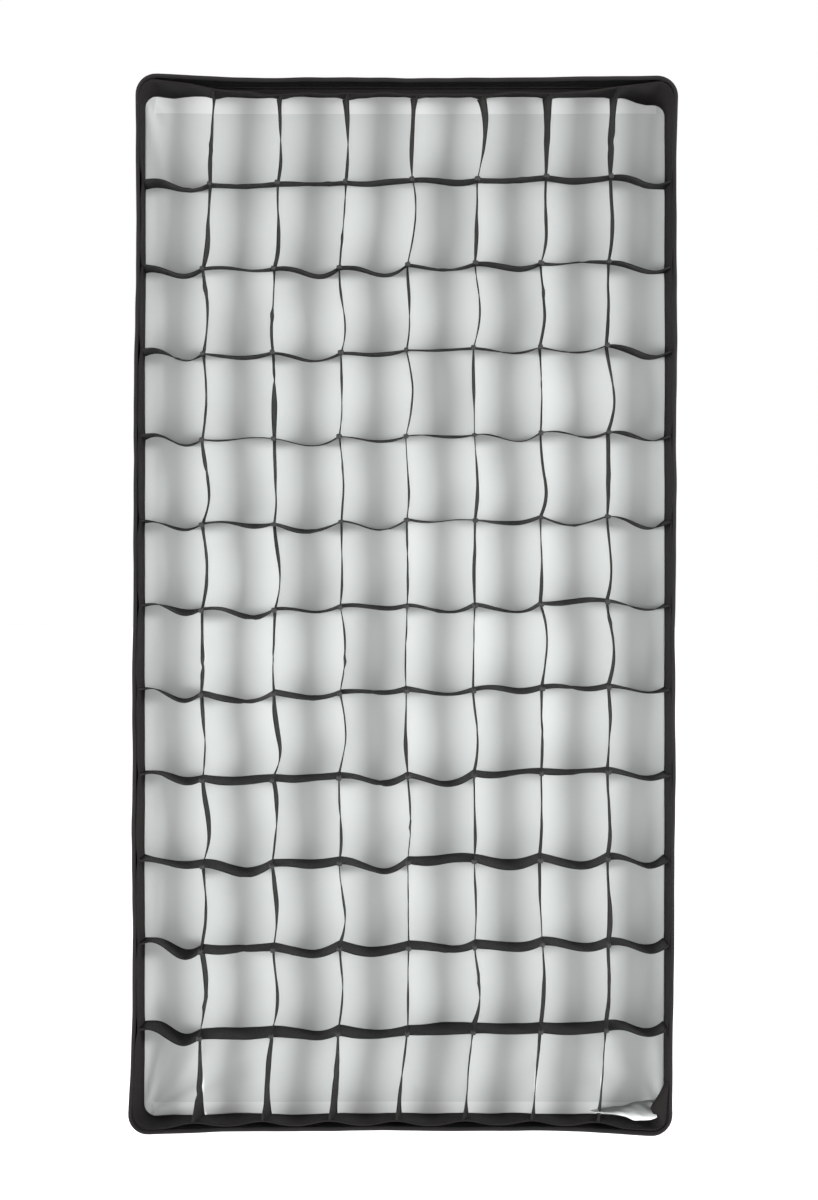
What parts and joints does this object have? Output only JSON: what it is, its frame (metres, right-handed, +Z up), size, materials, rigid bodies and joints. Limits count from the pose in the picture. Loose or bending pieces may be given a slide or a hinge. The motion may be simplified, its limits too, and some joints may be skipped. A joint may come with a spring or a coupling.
{
  "type": "strip softbox",
  "caption": "Tall rectangular softbox in black cloth on four bent ribs, with a rotating bayonet ring, inner baffle, white front cloth and a deep fabric egg-crate grid.",
  "frame": {"origin": "centre of the insert's face that seats on the lamp head, on the optical axis", "axes": "+Y along the optical axis towards the lamp head, so the box's front faces -Y; +Z up along the long side; +X to the right as seen from in front"},
  "size_m": [0.6132, 0.506, 1.1978],
  "materials": {
    "insert_metal": "turned and bead-blasted",
    "ring_casting": "cast, black satin coat",
    "screw_steel": "zinc plated",
    "knob_plastic": "moulded, satin",
    "pad_brass": "turned",
    "shell_cloth": "woven nylon, silver lining inside",
    "binding_tape": "woven webbing tape",
    "band_tape": "brushed loop tape",
    "hook_tape": "hook tape",
    "white_cloth": "white diffusion cloth, satin",
    "elastic_tab": "woven elastic",
    "grid_cloth": "coated black nylon strip",
    "rib_glass_fibre": "pultruded glass fibre",
    "cap_rubber": "moulded"
  },
  "bodies": {
    "mount_insert": {"bayonet_insert": "insert_metal"},
    "softbox": {"speed_ring": "ring_casting", "retaining_ring": "insert_metal", "panel_top": "shell_cloth", "panel_bottom": "shell_cloth", "panel_left": "shell_cloth", "panel_right": "shell_cloth", "rear_collar": "binding_tape", "front_lip": "shell_cloth", "hook_tape": "hook_tape", "retainer_screw_1": "screw_steel", "retainer_screw_2": "screw_steel", "retainer_screw_3": "screw_steel", "corner_piping_1": "binding_tape", "rib_1": "rib_glass_fibre", "rib_end_cap_1": "cap_rubber", "corner_pocket_1": "binding_tape", "corner_piping_2": "binding_tape", "rib_2": "rib_glass_fibre", "rib_end_cap_2": "cap_rubber", "corner_pocket_2": "binding_tape", "corner_piping_3": "binding_tape", "rib_3": "rib_glass_fibre", "rib_end_cap_3": "cap_rubber", "corner_pocket_3": "binding_tape", "corner_piping_4": "binding_tape", "rib_4": "rib_glass_fibre", "rib_end_cap_4": "cap_rubber", "corner_pocket_4": "binding_tape"},
    "lock_pad": {"lock_pad": "pad_brass"},
    "lock_knob": {"lock_knob": "knob_plastic"},
    "baffle": {"baffle_tab_1": "elastic_tab", "baffle_tab_2": "elastic_tab", "baffle_tab_3": "elastic_tab", "baffle_tab_4": "elastic_tab", "baffle_tab_5": "elastic_tab", "baffle_tab_6": "elastic_tab", "inner_baffle": "white_cloth"},
    "front": {"front_cloth": "white_cloth", "front_cloth_band": "band_tape"},
    "grid": {"grid_band": "band_tape", "grid_upright_1": "grid_cloth", "grid_upright_2": "grid_cloth", "grid_upright_3": "grid_cloth", "grid_upright_4": "grid_cloth", "grid_upright_5": "grid_cloth", "grid_upright_6": "grid_cloth", "grid_upright_7": "grid_cloth", "grid_cross_1": "grid_cloth", "grid_cross_2": "grid_cloth", "grid_cross_3": "grid_cloth", "grid_cross_4": "grid_cloth", "grid_cross_5": "grid_cloth", "grid_cross_6": "grid_cloth", "grid_cross_7": "grid_cloth", "grid_cross_8": "grid_cloth", "grid_cross_9": "grid_cloth", "grid_cross_10": "grid_cloth", "grid_cross_11": "grid_cloth"}
  },
  "joints": [
    {"name": "ring_rotation", "type": "hinge", "parent": "mount_insert", "child": "softbox", "pos_m": [0, 0, 0], "axis": [0, 1, 0], "continuous": true},
    {"name": "lock_pad_travel", "type": "slide", "parent": "softbox", "child": "lock_pad", "axis": [0, 0, -1], "range_m": [-0.003, 0.00029]},
    {"name": "lock_knob_turn", "type": "hinge", "parent": "lock_pad", "child": "lock_knob", "pos_m": [0, -0.0075, 0.1], "axis": [0, 0, -1], "range_deg": [-1081, 106]},
    {"name": "baffle_off", "type": "slide", "parent": "softbox", "child": "baffle", "axis": [0, -1, 0], "range_m": [0, 0.1]},
    {"name": "front_off", "type": "slide", "parent": "softbox", "child": "front", "axis": [0, -1, 0], "range_m": [0, 0.1]},
    {"name": "grid_off", "type": "slide", "parent": "front", "child": "grid", "axis": [0, -1, 0], "range_m": [0, 0.1]}
  ],
  "couplings": [
    {"joint": "lock_knob_turn", "follows": "lock_pad_travel", "rad_per_m": 6283.2}
  ]
}
